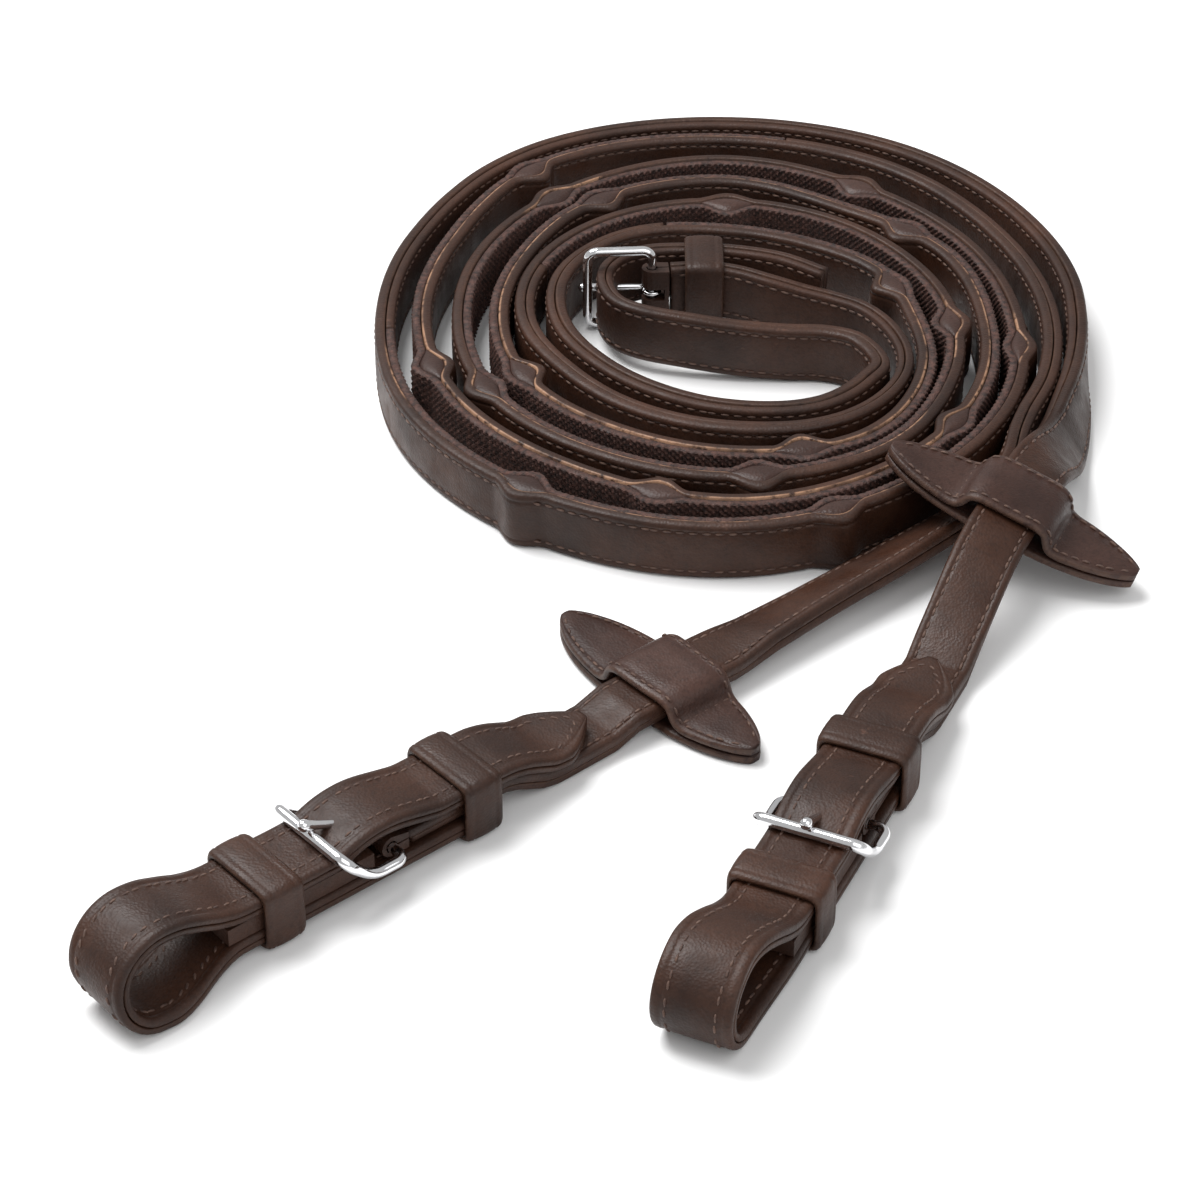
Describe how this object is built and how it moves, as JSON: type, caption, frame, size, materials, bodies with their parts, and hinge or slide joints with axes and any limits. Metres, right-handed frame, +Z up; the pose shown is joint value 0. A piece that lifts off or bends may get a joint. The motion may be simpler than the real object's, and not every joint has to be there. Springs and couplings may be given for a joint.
{
  "type": "leather reins",
  "caption": "Coiled pair of buckled leather reins with leather hand stops over grip webbing, rein stops, and buckled billets looped for a bit.",
  "frame": {"origin": "centre of the bounding box's footprint, on the floor the reins lie on", "axes": "+Z up from the floor; +Y along the longest extent, from the looped bit ends at -Y to the coil at +Y"},
  "size_m": [0.248, 0.3848, 0.027],
  "materials": {
    "leather": "satin",
    "lining_leather": "matte",
    "grip_webbing": "matte",
    "stop_leather": "satin",
    "stop_rubber": "satin",
    "steel": "polished"
  },
  "bodies": {
    "reins": {"centre_buckle": "steel", "centre_buckle_fold": "leather", "centre_keeper": "leather", "left_billet": "leather", "left_billet_lining": "lining_leather", "left_bit_buckle": "steel", "left_bit_keeper": "leather", "left_buckle_fold": "leather", "left_grip_webbing": "grip_webbing", "left_hand_stop_1": "stop_rubber", "left_hand_stop_2": "stop_rubber", "left_hand_stop_3": "stop_rubber", "left_hand_stop_4": "stop_rubber", "left_hand_stop_5": "stop_rubber", "left_hand_stop_6": "stop_rubber", "left_hand_stop_7": "stop_rubber", "left_hand_stop_8": "stop_rubber", "left_hand_stop_9": "stop_rubber", "left_inner_lining": "lining_leather", "left_keeper_tab": "leather", "left_rein_leather": "leather", "left_tail_lining": "lining_leather", "right_billet": "leather", "right_billet_lining": "lining_leather", "right_bit_buckle": "steel", "right_bit_keeper": "leather", "right_buckle_fold": "leather", "right_grip_webbing": "grip_webbing", "right_hand_stop_1": "stop_rubber", "right_hand_stop_2": "stop_rubber", "right_hand_stop_3": "stop_rubber", "right_hand_stop_4": "stop_rubber", "right_hand_stop_5": "stop_rubber", "right_hand_stop_6": "stop_rubber", "right_hand_stop_7": "stop_rubber", "right_hand_stop_8": "stop_rubber", "right_hand_stop_9": "stop_rubber", "right_inner_lining": "lining_leather", "right_keeper_tab": "leather", "right_rein_leather": "leather", "right_tail_lining": "lining_leather"},
    "centre_prong": {"centre_prong": "steel"},
    "left_prong": {"left_bit_prong": "steel"},
    "left_runner": {"left_bit_runner": "leather"},
    "left_rein_stop": {"left_rein_stop_base": "stop_leather", "left_rein_stop_top": "stop_leather"},
    "right_prong": {"right_bit_prong": "steel"},
    "right_runner": {"right_bit_runner": "leather"},
    "right_rein_stop": {"right_rein_stop_base": "stop_leather", "right_rein_stop_top": "stop_leather"}
  },
  "joints": [
    {"name": "centre_prong_hinge", "type": "hinge", "parent": "reins", "child": "centre_prong", "pos_m": [0.00435, 0.10212, 0.0114], "axis": [0, 0, -1], "range_deg": [0, 8]},
    {"name": "right_prong_hinge", "type": "hinge", "parent": "reins", "child": "right_prong", "pos_m": [0.04316, -0.1186, 0.0087], "axis": [-0.908, 0.419, 0], "range_deg": [0, 30]},
    {"name": "right_rein_stop_slide", "type": "slide", "parent": "reins", "child": "right_rein_stop", "axis": [-0.419, -0.908, 0], "range_m": [0, 0.004]},
    {"name": "right_runner_slide", "type": "slide", "parent": "reins", "child": "right_runner", "axis": [-0.419, -0.908, 0], "range_m": [-0.005, 0.002]},
    {"name": "left_prong_hinge", "type": "hinge", "parent": "reins", "child": "left_prong", "pos_m": [-0.06162, -0.12395, 0.0087], "axis": [-0.6504, 0.7596, 0], "range_deg": [0, 30]},
    {"name": "left_rein_stop_slide", "type": "slide", "parent": "reins", "child": "left_rein_stop", "axis": [-0.7596, -0.6504, 0], "range_m": [-0.004, 0.004]},
    {"name": "left_runner_slide", "type": "slide", "parent": "reins", "child": "left_runner", "axis": [-0.7596, -0.6504, 0], "range_m": [-0.003, 0.006]}
  ]
}
